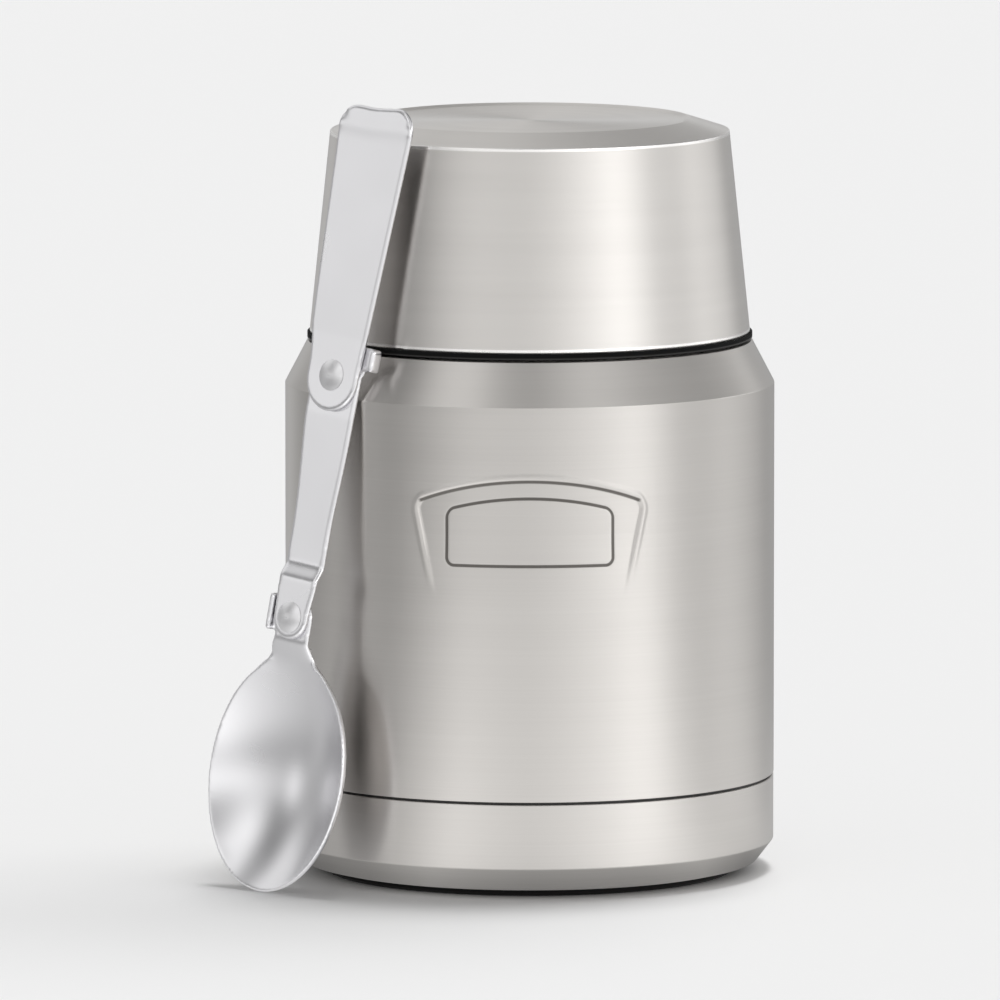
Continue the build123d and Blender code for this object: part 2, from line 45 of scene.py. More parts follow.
# ---------------------------------------------------------------- base pad
# A soft ribbed rubber disc, die-cut and glued into the base cup's recess. The jar
# stands on it, so its underside is dusty and its cut edge is matt.
class Wire:
    """One outlet of a shader node. Sums and products with it add Math nodes."""

    def __init__(self, tree, socket=None):
        self.tree = tree
        self.socket = socket

    def add(self, kind, settings=None, outlet=0, **inlets):
        """Adds a node, makes its settings, then feeds its inlets: by name with _
        for a space, or by number as i0, i1 and so on."""
        node = self.tree.nodes.new(kind)
        for key, value in (settings or {}).items():
            if key == "stops":
                ramp = node.color_ramp
                while len(ramp.elements) < len(value):
                    ramp.elements.new(1)
                for stop, (place, level) in zip(ramp.elements, value):
                    stop.position = place
                    stop.color = (level, level, level, 1)
            else:
                setattr(node, key, value)
        for key, value in inlets.items():
            numbered = key[0] == "i" and key[1:].isdigit()
            inlet = node.inputs[int(key[1:]) if numbered else key.replace("_", " ")]
            if isinstance(value, Wire):
                self.tree.links.new(value.socket, inlet)
            else:
                inlet.default_value = value
        return Wire(self.tree, node.outputs[outlet] if node.outputs else None)

    def math(self, operation, *values):
        inlets = {f"i{place}": value for place, value in enumerate(values)}
        return self.add("ShaderNodeMath", {"operation": operation}, **inlets)

    def __add__(self, other):
        return self.math("ADD", self, other)

    def __radd__(self, other):
        return self.math("ADD", other, self)

    def __sub__(self, other):
        return self.math("SUBTRACT", self, other)

    def __rsub__(self, other):
        return self.math("SUBTRACT", other, self)

    def __mul__(self, other):
        return self.math("MULTIPLY", self, other)

    def __rmul__(self, other):
        return self.math("MULTIPLY", other, self)

    def __truediv__(self, other):
        return self.math("DIVIDE", self, other)

    def ramp(self, *stops):
        """A number that runs straight between stops. Each is a place and a level."""
        return self.add("ShaderNodeValToRGB", {"stops": stops}, Fac=self)

    def tint(self, low, high):
        """A colour between two, by this number. Each is a wire or three numbers."""
        low, high = (end if isinstance(end, Wire) else (*end, 1) for end in (low, high))
        return self.add(
            "ShaderNodeMix", {"data_type": "RGBA"}, outlet=2, i0=self, i6=low, i7=high,
        )

    def noise(self, scale, detail=2, roughness=0.5):
        """Noise over this place."""
        return self.add(
            "ShaderNodeTexNoise", Vector=self, Scale=scale, Detail=detail, Roughness=roughness,
        )

    def bump(self, strength, distance):
        """A normal from this height."""
        return self.add("ShaderNodeBump", Strength=strength, Distance=distance, Height=self)

    def parts(self):
        """The three numbers of this vector."""
        split = self.add("ShaderNodeSeparateXYZ", Vector=self).socket.node
        return [Wire(self.tree, outlet) for outlet in split.outputs]


def finish(name, colour, surface, **constants):
    """A material. surface gets the piece's own coordinates and returns what varies
    over it; constants are set on the shader's sockets."""
    material = bpy.data.materials.new(name)
    material.use_nodes = True
    tree = material.node_tree
    tree.nodes.clear()
    root = Wire(tree)
    varying = surface(root.add("ShaderNodeTexCoord", outlet=3))
    settings = {"Base_Color": (*colour, 1), **constants, **varying}
    shader = root.add("ShaderNodeBsdfPrincipled", **settings)
    root.add("ShaderNodeOutputMaterial", Surface=shader)
    material.diffuse_color = (*colour, 1)
    return material


def dress(piece, material):
    """One material over the whole piece."""
    piece.data.materials.clear()
    piece.data.materials.append(material)


# The rubber is black, and its colour is also pushed to near-black as painted shade in the gap
# under the base cup's rim.
def pad_surface(place):
    grain = place.noise(2600, detail=3)
    dust = place.noise(90, detail=4).ramp((0.42, 0), (0.75, 1))
    return {
        "Base_Color": dust.tint((0.008, 0.008, 0.008), (0.02, 0.019, 0.018)),
        "Roughness": 0.72 + dust * 0.12,
        "Normal": grain.bump(0.35, 0.0001),
    }


dress(nodes["base_pad"], finish(
    "pad_rubber", (0.012, 0.012, 0.012), pad_surface, Specular_IOR_Level=0.2,
))


# ---------------------------------------------------------------- base cup
# The jar's bottom cup: stainless sheet, deep-drawn, chamfered at the heel and
# pressed on over the wall's spigot. Its rim, heel and top edge are softened.
def deselect():
    for picked in bpy.context.selected_objects:
        picked.select_set(False)


def circle(name, sides, radius, height):
    """A piece that is only a circle of edges about the axis, open for editing. Its
    radius and height are in millimetres."""
    deselect()
    bpy.ops.mesh.primitive_circle_add(
        vertices=sides, radius=radius / 1000, location=(0, 0, height / 1000)
    )
    piece = bpy.context.object
    piece.name = piece.data.name = name
    bpy.ops.object.transform_apply(location=True)
    bpy.ops.object.mode_set(mode="EDIT")
    bpy.ops.mesh.select_all(action="SELECT")
    return piece


def weld():
    """Merges the active piece's double points and turns its faces outwards."""
    bpy.ops.object.mode_set(mode="EDIT")
    bpy.ops.mesh.select_all(action="SELECT")
    bpy.ops.mesh.remove_doubles(threshold=2e-6)
    bpy.ops.mesh.normals_make_consistent(inside=False)
    bpy.ops.object.mode_set(mode="OBJECT")


def turned(name, profile, softened=0.0, steps=3):
    """A sheet piece turned about the jar's axis. The profile, in millimetres, goes
    round the sheet's section, and an end at on_axis closes to a point. Corners
    sharper than 18 degrees get a bevel, softened wide."""
    piece = circle(name, 256, *profile[0])
    for (inner, low), (outer, high) in zip(profile, profile[1:]):
        bpy.ops.mesh.extrude_region_move(
            TRANSFORM_OT_translate={"value": (0, 0, (high - low) / 1000)}
        )
        growth = outer / inner
        bpy.ops.transform.resize(
            value=(growth, growth, 1), center_override=(0, 0, high / 1000)
        )
    weld()
    if softened:
        soften(piece, softened, steps)
    return piece


def soften(piece, width, steps):
    """Rounds a piece's corners. The flats beside them stay flat in the light."""
    bevel = piece.modifiers.new("softened edges", "BEVEL")
    bevel.width = width / 1000
    bevel.segments = steps
    bevel.limit_method = "ANGLE"
    bevel.angle_limit = radians(18)
    bpy.ops.object.modifier_apply(modifier=bevel.name)
    bpy.ops.object.shade_smooth_by_angle(angle=radians(35))
    even = piece.modifiers.new("flats stay flat", "WEIGHTED_NORMAL")
    even.weight = 100
    even.keep_sharp = True
    bpy.ops.object.modifier_apply(modifier=even.name)


def brushed(place, fineness=1.0):
    """Fine turned brushing: streaks that run round the axis on walls and flats. They
    are 1/14 m long, and 1/2600 m wide at a fineness of 1."""
    flat = place.add("ShaderNodeVectorMath", {"operation": "MULTIPLY"}, i0=place, i1=(1, 1, 0))
    reach = place.add("ShaderNodeVectorMath", {"operation": "LENGTH"}, outlet=1, i0=flat)
    height = place.parts()[2]
    round_axis = place.add(
        "ShaderNodeVectorMath", {"operation": "MULTIPLY"}, i0=place, i1=(14, 14, 0),
    )
    over_edge = place.add("ShaderNodeCombineXYZ", Z=(height + reach) * (2600 * fineness))
    return place.add("ShaderNodeVectorMath", {"operation": "ADD"}, i0=round_axis, i1=over_edge)


def brushed_surface(place):
    streaks = brushed(place).noise(1.0, detail=3, roughness=0.6)
    broad = brushed(place, 0.12).noise(1.0, detail=2)
    tone = streaks * 0.6 + broad * 0.4
    steel = tone.ramp((0.3, 0), (0.7, 1)).tint((0.62, 0.598, 0.573), (0.652, 0.63, 0.604))
    return {
        "Base_Color": steel,
        "Roughness": 0.34 + (tone - 0.5) * 0.1,
        "Normal": streaks.bump(0.08, 0.00002),
    }


body_steel = finish(
    "brushed_steel", (0.63, 0.61, 0.59), brushed_surface,
    Metallic=1.0, Anisotropic=0.85, Anisotropic_Rotation=0.25,
)
on_axis = 0.001
base_cup = turned(
    "base_cup_sheet",
    [
        (on_axis, 2.3), (39.9, 2.3), (39.9, 1.3), (40.9, 1.3), (43.8, 2.0), (46.95, 6.1),
        (46.95, 18.45), (46.35, 18.45), (46.35, 6.3), (43.5, 2.6), (40.7, 1.9),
        (40.5, 1.9), (40.5, 2.9), (on_axis, 2.9),
    ],
    softened=0.2,
)
dress(base_cup, body_steel)
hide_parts("base_cup")
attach(base_cup, "jar")


# ---------------------------------------------------------------- outer shell
# The jar's visible wall: one stainless sheet, drawn, turned in at a crisp conical
# shoulder and up into the neck, with a shallow panel pressed into the front.
wall_radius = 47.0
wall_foot = 18.95
panel_from = 54.0
panel_to = 84.0
ring_pitch = 1.15
wall_rings = [(wall_radius, wall_foot)]
wall_rings += [(wall_radius, panel_from + ring_pitch * ring) for ring in range(27)]
wall_rings += [(wall_radius, 94.3)]
outer_shell = turned(
    "outer_shell_sheet",
    [(46.3, 8.95), (46.3, wall_foot)]
    + wall_rings
    + [
        (42.7, 102.5), (35.8, 102.5), (35.8, 115.5), (35.2, 115.5), (35.2, 101.9),
        (42.3, 101.9), (46.4, 94.1), (46.4, 19.55), (45.7, 19.55), (45.7, 8.95),
        (46.3, 8.95),
    ],
)
arch_centre = 19.65
panel_arch = 61.0
panel_corner = 2.2
panel_depth = 0.42
panel_reach = 24.5
panel_half_width = 22.7
side_top = 76.4
side_lean = 0.222
lean_cosine = 0.976
step_run = 0.55
bulge_height = 0.13
bulge_off = 0.5
bulge_reach = 0.75
fade_from = 57.5
fade_height = 13
foot_inset = 0.42
side_inset = 1.2
border_arch = 57.35
border_bottom = 64.1
border_half_width = 16.2
border_corner = 1.5
border_width = 0.62
border_sink = 0.06


def rounded_meet(first, second, corner):
    """Distance from the rounded corner where two edges meet, below 0 inside both."""
    first += corner
    second += corner
    outside = hypot(max(first, 0), max(second, 0))
    return outside + min(max(first, second), 0) - corner


def panel_distance(arc, z):
    """Distance from the pressed step: an arched top and sides that lean inwards."""
    arch = hypot(arc, z - arch_centre) - panel_arch
    side = (abs(arc) - panel_half_width + (side_top - z) * side_lean) * lean_cosine
    return rounded_meet(arch, side, panel_corner)


def border_distance(arc, z):
    """Distance from the plain border inside the panel."""
    arch = hypot(arc, z - arch_centre) - border_arch
    side = abs(arc) - border_half_width
    return rounded_meet(max(arch, border_bottom - z), side, border_corner)


def by_panel(x, y, z):
    """Whether a place is on the outside of the front, where the panel is pressed."""
    outside = hypot(x, y) > wall_radius - 0.2 and panel_from < z < panel_to
    return outside and y < 0 and abs(x) < panel_reach


def smooth(share):
    share = min(max(share, 0), 1)
    return share * share * (3 - 2 * share)


bpy.ops.object.mode_set(mode="EDIT")
bpy.ops.mesh.select_all(action="DESELECT")
bpy.ops.object.mode_set(mode="OBJECT")
for face in outer_shell.data.polygons:
    face.select = by_panel(*(face.center * 1000))
bpy.ops.object.mode_set(mode="EDIT")
bpy.ops.mesh.subdivide(number_cuts=4)
bpy.ops.object.mode_set(mode="OBJECT")
for vertex in outer_shell.data.vertices:
    x, y, z = vertex.co * 1000
    if by_panel(x, y, z):
        arc = wall_radius * Vector((0, -1)).angle_signed(Vector((x, y)))
        edge = panel_distance(arc, z)
        press = panel_depth * smooth(-edge / step_run)
        press -= bulge_height * smooth(1 - abs(edge - bulge_off) / bulge_reach)
        press *= smooth((z - fade_from) / fade_height)
        off_line = abs(border_distance(arc, z)) * 2 / border_width
        press += border_sink * smooth(1.4 - off_line)
        narrower = (wall_radius - press) / hypot(x, y)
        vertex.co.x = x * narrower / 1000
        vertex.co.y = y * narrower / 1000
soften(outer_shell, 0.16, 3)


def border_and_step_shade(place):
    """1 on the etched line round the panel's middle, and on a line of painted shade in the
    step's foot.
    """
    across, depth, height = place.parts()
    arc = place.math("ARCTAN2", across, depth * -1) * wall_radius
    rise = height * 1000 - arch_centre
    from_centre = place.math("SQRT", arc * arc + rise * rise)
    arch = from_centre - (border_arch - border_corner)
    foot = (border_bottom + border_corner - arch_centre) - rise
    over_z = place.math("MAXIMUM", arch, foot)
    over_x = place.math("ABSOLUTE", arc) - (border_half_width - border_corner)
    out_x = place.math("MAXIMUM", over_x, 0.0)
    out_z = place.math("MAXIMUM", over_z, 0.0)
    outside = place.math("SQRT", out_x * out_x + out_z * out_z)
    inside = place.math("MINIMUM", place.math("MAXIMUM", over_x, over_z), 0.0)
    away = place.math("ABSOLUTE", outside + inside - border_corner)
    border = (away / border_width).ramp((0.36, 1), (0.6, 0))
    crown = from_centre - (panel_arch - foot_inset)
    side_foot = (panel_half_width - side_inset) - (side_top - height * 1000) * side_lean
    beyond_side = place.math("ABSOLUTE", arc) - side_foot
    # Painted shade: a dark line where the pressed step's foot would lie in shadow.
    painted_step_shade = place.math("ABSOLUTE", crown).ramp((0.2, 0.95), (0.42, 0))
    painted_step_shade = painted_step_shade * beyond_side.ramp((0.0, 1), (0.5, 0))
    return place.math("MAXIMUM", border, painted_step_shade)


def shell_surface(place):
    """Brushed steel with an etched line and a line of painted shade at the step's foot, and
    near-black, not metallic, in the joint below the wall's foot.
    """
    varying = brushed_surface(place)
    etched_line_and_step_shade = border_and_step_shade(place)
    # Below the wall's foot the steel is near-black and not metallic, in the joint with the base
    # cup.
    foot_joint = place.math("LESS_THAN", place.parts()[2] * 1000, wall_foot - 0.02)
    lined = etched_line_and_step_shade.tint(varying["Base_Color"], (0.17, 0.16, 0.148))
    varying["Base_Color"] = foot_joint.tint(lined, (0.02, 0.019, 0.018))
    varying["Roughness"] = varying["Roughness"] + etched_line_and_step_shade * 0.15
    varying["Metallic"] = 1 - foot_joint
    return varying


dress(outer_shell, finish(
    "brushed_steel_shell", (0.63, 0.61, 0.59), shell_surface,
    Anisotropic=0.85, Anisotropic_Rotation=0.25,
))
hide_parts("outer_shell")
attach(outer_shell, "jar")


# ---------------------------------------------------------------- food vessel
# The inner vessel is drawn from thinner stainless and electropolished, with its
# bottom welded in. Foil round it sends heat back across the vacuum.
def polished_surface(place):
    clouds = place.noise(60, detail=4)
    grain = brushed(place, 0.7).noise(1.0, detail=2)
    return {
        "Base_Color": clouds.tint((0.60, 0.59, 0.58), (0.66, 0.65, 0.64)),
        "Roughness": 0.22 + clouds * 0.08,
        "Normal": grain.bump(0.06, 0.00003),
    }


liner_steel = finish("polished_steel", (0.63, 0.62, 0.61), polished_surface, Metallic=1.0)
for name in ("inner_liner", "liner_bottom", "bottom_plate", "seal_disc", "getter_cup", "getter"):
    dress(nodes[name], liner_steel)


def foil_surface(place):
    creases = place.add(
        "ShaderNodeTexVoronoi", {"feature": "DISTANCE_TO_EDGE"}, Vector=place, Scale=140,
    )
    return {
        "Roughness": 0.18 + creases * 0.3,
        "Normal": creases.bump(0.6, 0.0002),
    }


dress(nodes["foil_wrap"], finish("bright_foil", (0.82, 0.8, 0.78), foil_surface, Metallic=1.0))


# ---------------------------------------------------------------- stopper
# Black polypropylene mouldings: a screw cap whose fluted ring takes the fingers,
# and a plug full of foam with a silicone ring. Their skin has a fine spark grain.
def moulded_surface(place):
    grain = place.noise(3200, detail=2)
    wear = place.noise(120, detail=4)
    return {
        "Base_Color": wear.tint((0.018, 0.018, 0.019), (0.03, 0.03, 0.031)),
        "Roughness": 0.42 + wear * 0.14,
        "Normal": grain.bump(0.25, 0.00006),
    }


black_plastic = finish("black_polypropylene", (0.024, 0.024, 0.025), moulded_surface)
for name in ("stopper_cap", "stopper_plug"):
    dress(nodes[name], black_plastic)


def band(place, low, *stops):
    """A ramp up the wall: stops of millimetres above low, and level."""
    return (place.parts()[2] * 1000 - low).ramp(*stops)


def lining_surface(place):
    """Matt black, darker than the moulding as painted shade under the cup's hem, with a paler
    line along the lip that is a painted highlight.
    """
    varying = moulded_surface(place)
    # Painted highlight: the paler band along the lip. Painted shade: the near-black around it.
    rubbed = band(place, 102.8, (0.0, 0), (0.12, 1), (0.42, 1), (0.56, 0))
    varying["Base_Color"] = rubbed.tint((0.003, 0.003, 0.003), (0.04, 0.039, 0.038))
    varying["Roughness"] = 0.85 - rubbed * 0.4
    return varying


dress(nodes["cup_lining"], finish(
    "black_lining", (0.01, 0.01, 0.01), lining_surface, Specular_IOR_Level=0.2,
))


def foam_surface(place):
    cells = place.add("ShaderNodeTexVoronoi", Vector=place, Scale=1400)
    return {
        "Base_Color": cells.tint((0.78, 0.77, 0.72), (0.88, 0.87, 0.82)),
        "Roughness": 0.9 + cells * 0.05,
        "Normal": cells.bump(0.5, 0.0002),
    }


dress(nodes["stopper_foam"], finish("insulating_foam", (0.85, 0.84, 0.79), foam_surface))


def silicone_surface(place):
    bloom = place.noise(200, detail=3)
    return {
        "Base_Color": bloom.tint((0.50, 0.50, 0.49), (0.58, 0.58, 0.57)),
        "Roughness": 0.38 + bloom * 0.15,
    }


dress(nodes["stopper_gasket"], finish(
    "clear_silicone", (0.55, 0.55, 0.54), silicone_surface, Subsurface_Weight=0.2,
))


# ---------------------------------------------------------------- cup lid
# A drawn stainless cup, glued over its moulded lining: tapered wall, sloping top
# ring, a crest and a flat spun panel. Its lower edge is hemmed inwards.
def lid_surface(place):
    """Brushed like the body, a little paler, with near-white painted highlights along the rim
    and the hem, where it is also a little smoother.
    """
    varying = brushed_surface(place)
    pale = brushed(place, 0.12).noise(1.0, detail=2).ramp((0.3, 0), (0.7, 1))
    # Painted highlights: near-white bands along the rim's corner and the hem's edge.
    rim = band(place, 142.1, (0.0, 0), (0.2, 1), (0.6, 1), (0.8, 0))
    hem = band(place, 104.2, (0.0, 0), (0.15, 1), (0.55, 1), (0.75, 0))
    painted_edge_highlight = place.math("MAXIMUM", rim, hem)
    steel = pale.tint((0.705, 0.682, 0.655), (0.74, 0.717, 0.689))
    varying["Base_Color"] = painted_edge_highlight.tint(steel, (0.97, 0.955, 0.935))
    varying["Roughness"] = varying["Roughness"] - painted_edge_highlight * 0.1
    return varying


cup_shell = turned(
    "cup_shell_sheet",
    [
        (on_axis, 144.7), (29.5, 144.7), (30.7, 145.2), (38.3, 142.8), (42.24, 104.7),
        (42.32, 104.35), (42.1, 103.95), (41.8, 104.1), (41.7, 104.7), (37.85, 142.45),
        (30.65, 144.7), (29.6, 144.2), (on_axis, 144.2),
    ],
    softened=0.55, steps=5,
)
dress(cup_shell, finish(
    "brushed_steel_lid", (0.63, 0.61, 0.59), lid_surface,
    Metallic=1.0, Anisotropic=0.85, Anisotropic_Rotation=0.25,
))
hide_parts("cup_shell")
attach(cup_shell, "lid_cup")


# ---------------------------------------------------------------- threads
# Helical beads hold the stopper on the neck and the cup on the stopper: one rolled
# in the neck, the others moulded. Each runs out into its wall at both ends.
def thread(name, crest, depth, low, high, pitch):
    """A bead round the axis, in millimetres. Its crest has this radius and stands
    depth off the wall, outwards above 0 and inwards below. Its foot and its ends are
    sunk in the wall."""
    sides = 12
    steps_in_turn = 96
    run_out = 14
    outwards = 1 if depth > 0 else -1
    turns = (high - low) / pitch
    steps = round(turns * steps_in_turn)
    wall = crest - depth
    piece = circle(name, sides, 1, 0)
    bpy.ops.transform.rotate(value=pi / 2, orient_axis="X", center_override=(0, 0, 0))
    bpy.ops.transform.resize(
        value=(abs(depth) + 0.1, 1, pitch * 0.24), center_override=(0, 0, 0)
    )
    bpy.ops.transform.translate(value=((wall - 0.1 * outwards) / 1000, 0, low / 1000))
    bpy.ops.object.mode_set(mode="OBJECT")
    winding = piece.modifiers.new("winding", "SCREW")
    winding.axis = "Z"
    winding.angle = 2 * pi * turns
    winding.screw_offset = (high - low) / 1000
    winding.steps = winding.render_steps = steps
    winding.use_normal_calculate = True
    bpy.ops.object.modifier_apply(modifier=winding.name)
    sunk = (wall - depth - 0.2 * outwards) / 1000
    for vertex in piece.data.vertices:
        step = vertex.index // sides
        share = smooth(min(step, steps - step) / run_out)
        away = hypot(vertex.co.x, vertex.co.y)
        radius = sunk + (away - sunk) * share
        vertex.co.x *= radius / away
        vertex.co.y *= radius / away
    weld()
    faces = piece.data.polygons
    if sum(face.center.dot(face.normal) * face.area for face in faces) < 0:
        piece.data.flip_normals()
    bpy.ops.object.shade_smooth_by_angle(angle=radians(50))
    return piece


for name, body, slot, material, lengths in (
    ("neck_thread", "jar", "steel", body_steel, (36.15, 0.35, 104.6, 112.6, 4.0)),
    ("stopper_inner_thread", "stopper", "black_plastic", black_plastic,
     (36.32, -0.38, 105.8, 113.8, 4.0)),
    ("stopper_outer_thread", "stopper", "black_plastic", black_plastic,
     (38.38, 0.58, 108.4, 116.4, 5.0)),
    ("cup_inner_thread", "lid_cup", "black_plastic", black_plastic,
     (38.62, -1.15, 108.2, 114.2, 5.0)),
):
    bead = thread(name, *lengths)
    dress(bead, material)
    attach(bead, body)


# ---------------------------------------------------------------- folding spoon
# Satin stainless blanks: bowl and neck, link and handle, stamped, tumbled until
# their edges are round and bright, and riveted so that each turns over the next.
def satin_surface(place):
    grain = place.noise(1500, detail=4, roughness=0.6)
    clouds = place.noise(70, detail=2)
    return {
        "Base_Color": clouds.tint((0.835, 0.83, 0.845), (0.865, 0.86, 0.875)),
        "Roughness": 0.26 + clouds * 0.04,
        "Normal": grain.bump(0.06, 0.00002),
    }


def rivet_surface(place):
    return {"Roughness": 0.36 + place.noise(300, detail=2) * 0.06}


spoon_steel = finish("satin_steel", (0.82, 0.817, 0.83), satin_surface, Metallic=1.0)
rivet_steel = finish("polished_rivet", (0.93, 0.925, 0.935), rivet_surface, Metallic=1.0)
for name in ("lower_rivet", "upper_rivet"):
    dress(nodes[name], rivet_steel)

hinges = {joint["name"]: joint for joint in frame["joints"]}
spoon_pivot = Vector(hinges["link_fold"]["pos_m"])
spoon_face = Vector(hinges["link_fold"]["axis"]) * -1
spoon_up = Vector(hinges["handle_fold"]["pos_m"]) - spoon_pivot
spoon_up = (spoon_up - spoon_face * spoon_up.dot(spoon_face)).normalized()
spoon_right = spoon_up.cross(spoon_face)


def face_place(point):
    """Millimetres across, up and out of the spoon's face from its lower rivet."""
    away = (point - spoon_pivot) * 1000
    return away.dot(spoon_right), away.dot(spoon_up), away.dot(spoon_face)


def tumbled(name, node, body, drawn, blended):
    """A stamped blank with the shape of its solid and edges worn round by tumbling.
    drawn gives the millimetres a place moves across, up and out, and blended how
    much it is dressed smooth."""
    deselect()
    piece = bpy.data.objects.new(name, nodes[node].data.copy())
    bpy.context.scene.collection.objects.link(piece)
    bpy.context.view_layer.objects.active = piece
    piece.select_set(True)
    bpy.ops.object.mode_set(mode="EDIT")
    bpy.ops.mesh.select_all(action="SELECT")
    bpy.ops.mesh.remove_doubles(threshold=2e-6)
    bpy.ops.mesh.dissolve_limited(angle_limit=radians(0.6))
    bpy.ops.object.mode_set(mode="OBJECT")
    edge = piece.modifiers.new("worn edges", "BEVEL")
    edge.width = 0.00057
    edge.segments = 5
    edge.limit_method = "ANGLE"
    edge.angle_limit = radians(38)
    edge.use_clamp_overlap = False
    bpy.ops.object.modifier_apply(modifier=edge.name)
    skin = piece.modifiers.new("even skin", "REMESH")
    skin.mode = "VOXEL"
    skin.voxel_size = 0.00025
    bpy.ops.object.modifier_apply(modifier=skin.name)
    rubbed = piece.modifiers.new("rubbed", "SMOOTH")
    rubbed.factor = 0.5
    rubbed.iterations = 8
    bpy.ops.object.modifier_apply(modifier=rubbed.name)
    for vertex in piece.data.vertices:
        across, up, out = drawn(*face_place(vertex.co))
        vertex.co += (spoon_right * across + spoon_up * up + spoon_face * out) / 1000
    group = piece.vertex_groups.new(name="blended")
    for vertex in piece.data.vertices:
        weight = blended(*face_place(vertex.co))
        if weight > 0:
            group.add([vertex.index], weight, "REPLACE")
    dressed = piece.modifiers.new("dressed smooth", "SMOOTH")
    dressed.factor = 0.5
    dressed.iterations = 160
    dressed.vertex_group = group.name
    bpy.ops.object.modifier_apply(modifier=dressed.name)
    bpy.ops.object.shade_smooth()
    dress(piece, spoon_steel)
    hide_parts(node)
    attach(piece, body)


def within(place, middle, reach, soft):
    """1 near the middle, and 0 from reach millimetres off, over a soft border."""
    return smooth((reach - abs(place - middle)) / soft)


def neck_blend(across, up, out):
    """Where the neck runs out into the bowl's hollow."""
    return within(up, middle=-9.5, reach=6, soft=2.5) * within(across, 0, 5.2, 2)


def step_blend(across, up, out):
    """The link's offset, pressed with soft corners."""
    return 0.12 * within(up, middle=8.8, reach=3.4, soft=1) * within(across, 0, 4.9, 1)


def end_blend(across, up, out):
    """The corner that flattening leaves across the handle's end."""
    return within(up, middle=94.3, reach=2.8, soft=1) * within(across, 0, 8.8, 1)


def bowl_spread(across, up, out):
    """The rim is rolled slightly wider than the stamping, the neck is waisted."""
    rim = (across * 0.035 + 0.06) * smooth((-up - 8) / 8)
    waist = (0.6 if across > 0 else -1.4) * smooth(abs(across) / 4)
    waist *= within(up, middle=-7.6, reach=4.2, soft=4.2)
    return rim + waist, 0, 0


def link_spread(across, up, out):
    """The link's flanks swell between its rivets, and its ear stands off the edge."""
    side = smooth(up / 8) * smooth((47 - up) / (24 if across > 0 else 11))
    ear = smooth((across - 5.4) / 1.2) * smooth((up - 47.2) / 1.2)
    return (across * 0.13 + 0.28) * side + 2.0 * ear, 0, 0


def handle_spread(across, up, out):
    """The handle's inner flank is straighter. Its end is flat and runs level to a
    corner."""
    straighter = 0.75 * smooth((up - 48) / 9) * smooth((96 - up) / 42)
    inner = smooth(-across / 5) * (0.35 + straighter)
    outer = smooth(across / 5) * 0.35
    level_end = 0.9 * smooth((across + 2) / 9) * smooth((up - 88) / 8)
    flattened = 0.6 * min(max((up - 93.43) / 1.6, 0), 1)
    return smooth((up - 46) / 10) * (outer - inner), level_end, flattened


tumbled("spoon_bowl_blank", "spoon_bowl", "spoon_base", bowl_spread, neck_blend)
tumbled("spoon_link_blank", "spoon_link", "spoon_middle", link_spread, step_blend)
tumbled("spoon_handle_blank", "spoon_handle", "spoon_top", handle_spread, end_blend)


# ---------------------------------------------------------------- studio
# A pale floor that fills the view, three soft lamps high at the back right, and a
# surround of soft panels and a bright floor that only the metal mirrors.
def bearing(x, y):
    """The direction from the axis as a share of a turn: 0.5 is the front, and it
    grows to the right."""
    return x.math("ARCTAN2", x, y * -1) / (2 * pi) + 0.5


def panorama(share, *stops):
    """Brightness round the object: stops of degrees to the right, and level."""
    brightest = 4
    return share.ramp(
        *((degrees / 360 + 0.5, level / brightest) for degrees, level in stops)
    ) * brightest


def ray_kinds(wire):
    """1 for rays from the camera, and 1 for rays that metal mirrors."""
    rays = wire.add("ShaderNodeLightPath").socket.node.outputs
    seen, glossy, passed = (
        Wire(wire.tree, rays[f"Is {kind} Ray"]) for kind in ("Camera", "Glossy", "Transmission")
    )
    return seen, wire.math("MAXIMUM", glossy, passed)


deselect()
bpy.ops.mesh.primitive_plane_add(size=60, location=(0, 0, 0))
floor = bpy.context.object
floor.name = "floor"
pale = bpy.data.materials.new("pale_floor")
pale.use_nodes = True
pale.node_tree.nodes.clear()
ground = Wire(pale.node_tree)
spot_x, spot_y = ground.add("ShaderNodeTexCoord", outlet=3).parts()[:2]
round_share = bearing(spot_x, spot_y)
reach = ground.math("SQRT", spot_x * spot_x + spot_y * spot_y)
ground_stops = (
    (-180, 0.45), (-150, 0.58), (-128, 0.4), (-116, 0.38), (-100, 0.56), (-90, 0.34),
    (-72, 0.35), (-60, 0.36), (-46, 0.42), (-34, 0.56), (-18, 0.74), (0, 0.83),
    (22, 0.95), (32, 0.97), (40, 0.99), (50, 1.05), (60, 0.9), (72, 0.69), (84, 0.68),
    (104, 0.73), (125, 0.58), (143, 0.46), (180, 0.45),
)
far_level = panorama(round_share, *ground_stops)
near_level = panorama(
    round_share, (-180, 0.6), (-118, 0.6), (-84, 0.6), (-66, 0.75), (-52, 0.95),
    (-40, 1.2), (-27, 1.5), (-12, 1.28), (0, 1.16), (30, 1.22), (42, 1.4), (52, 1.5),
    (62, 1.2), (76, 0.85), (104, 0.85), (128, 0.62), (180, 0.6),
)
# Near the jar the glow that metal mirrors is raised, a painted pool of light, and at the jar's
# foot it is cut down, a painted shadow.
near = (reach * 3).ramp((0.5, 1), (0.8, 0))
contact = (reach * 3).ramp((0.0, 0.2), (0.138, 0.28), (0.165, 0.62), (0.22, 1))
ground_level = (near_level * near + far_level * (1 - near)) * contact
matt = ground.add("ShaderNodeBsdfDiffuse", Color=(0.87, 0.87, 0.87, 1))
shown = ground.add("ShaderNodeEmission", Color=(1, 1, 1, 1), Strength=ground_level)
both = ground.add("ShaderNodeMixShader", Fac=ray_kinds(ground)[1], i1=matt, i2=shown)
ground.add("ShaderNodeOutputMaterial", Surface=both)
dress(floor, pale)

